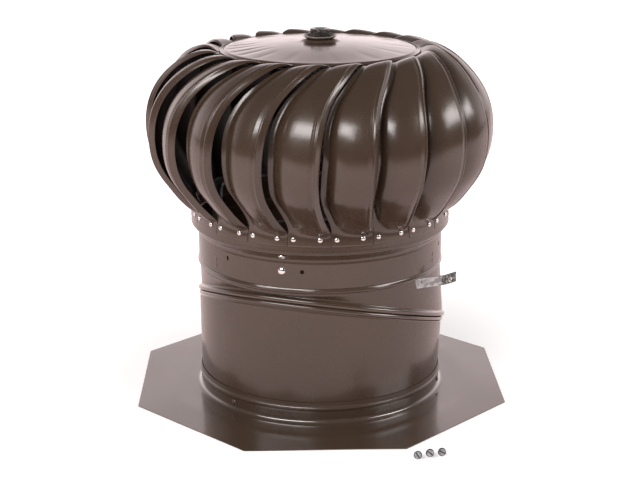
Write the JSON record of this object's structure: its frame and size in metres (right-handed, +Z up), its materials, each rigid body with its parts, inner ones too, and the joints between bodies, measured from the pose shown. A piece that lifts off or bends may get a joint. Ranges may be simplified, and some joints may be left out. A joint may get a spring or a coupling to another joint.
{
  "type": "roof turbine ventilator",
  "caption": "Wind-driven roof turbine ventilator: octagonal flashing, swivelling two-piece throat with a slanted seam, and a spinning globe head of curved vanes under a shallow domed cap.",
  "frame": {"origin": "on the duct's centre line, level with the underside of the flat flashing", "axes": "+Z up along the rotor's spin axis; -Y towards the front, where the seam rivets are; +X towards the side where the lock strap sticks out"},
  "size_m": [0.4572, 0.4889, 0.4565],
  "materials": {
    "brown_paint": "glossy dark brown baked enamel over thin galvanised sheet",
    "galvanised_steel": "plain galvanised steel, slightly mottled",
    "rivet_metal": "bright aluminium rivets, satin",
    "bearing_steel": "ground and polished bearing steel",
    "spring_steel": "dark phosphated spring steel",
    "shaft_steel": "turned bright steel with a threaded end",
    "dark_nut": "dark painted hexagon nut",
    "zinc_screw": "dull zinc plated screws"
  },
  "bodies": {
    "base": {"base_flashing": "brown_paint", "flashing_neck": "brown_paint", "lower_throat": "brown_paint", "flashing_rivets": "rivet_metal", "fixing_screws": "zinc_screw"},
    "pitch_collar": {"pitch_elbow": "brown_paint", "turbine_collar": "brown_paint", "collar_seam_rivets": "rivet_metal", "lock_strap": "galvanised_steel", "strap_eyelet": "rivet_metal", "brace_hub": "galvanised_steel", "brace_hub_rivets": "rivet_metal", "brace_leg_rivets": "rivet_metal", "bearing_tube": "galvanised_steel", "lower_bearing_outer_race": "bearing_steel", "lower_bearing_balls": "bearing_steel", "upper_bearing_outer_race": "bearing_steel", "upper_bearing_balls": "bearing_steel", "upper_retaining_ring": "spring_steel", "lower_retaining_ring": "spring_steel", "brace_arm_1": "galvanised_steel", "brace_arm_2": "galvanised_steel", "brace_arm_3": "galvanised_steel"},
    "rotor": {"rotor_ring": "brown_paint", "vane_rivets": "rivet_metal", "dome_cap": "brown_paint", "top_clamp_ring": "galvanised_steel", "hub_plate": "galvanised_steel", "shaft": "shaft_steel", "shaft_snap_ring": "spring_steel", "lower_bearing_inner_race": "bearing_steel", "upper_bearing_inner_race": "bearing_steel", "top_washer": "brown_paint", "top_nut": "dark_nut", "vane_01": "brown_paint", "vane_02": "brown_paint", "vane_03": "brown_paint", "vane_04": "brown_paint", "vane_05": "brown_paint", "vane_06": "brown_paint", "vane_07": "brown_paint", "vane_08": "brown_paint", "vane_09": "brown_paint", "vane_10": "brown_paint", "vane_11": "brown_paint", "vane_12": "brown_paint", "vane_13": "brown_paint", "vane_14": "brown_paint", "vane_15": "brown_paint", "vane_16": "brown_paint", "vane_17": "brown_paint", "vane_18": "brown_paint", "vane_19": "brown_paint", "vane_20": "brown_paint"}
  },
  "joints": [
    {"name": "pitch_swivel", "type": "hinge", "parent": "base", "child": "pitch_collar", "pos_m": [0.00134, -0.00231, 0.1039], "axis": [0.1187, 0.2853, 0.9511], "range_deg": [0, 180]},
    {"name": "rotor_spin", "type": "hinge", "parent": "pitch_collar", "child": "rotor", "pos_m": [0, 0, 0.35], "axis": [0, 0, 1], "continuous": true}
  ]
}
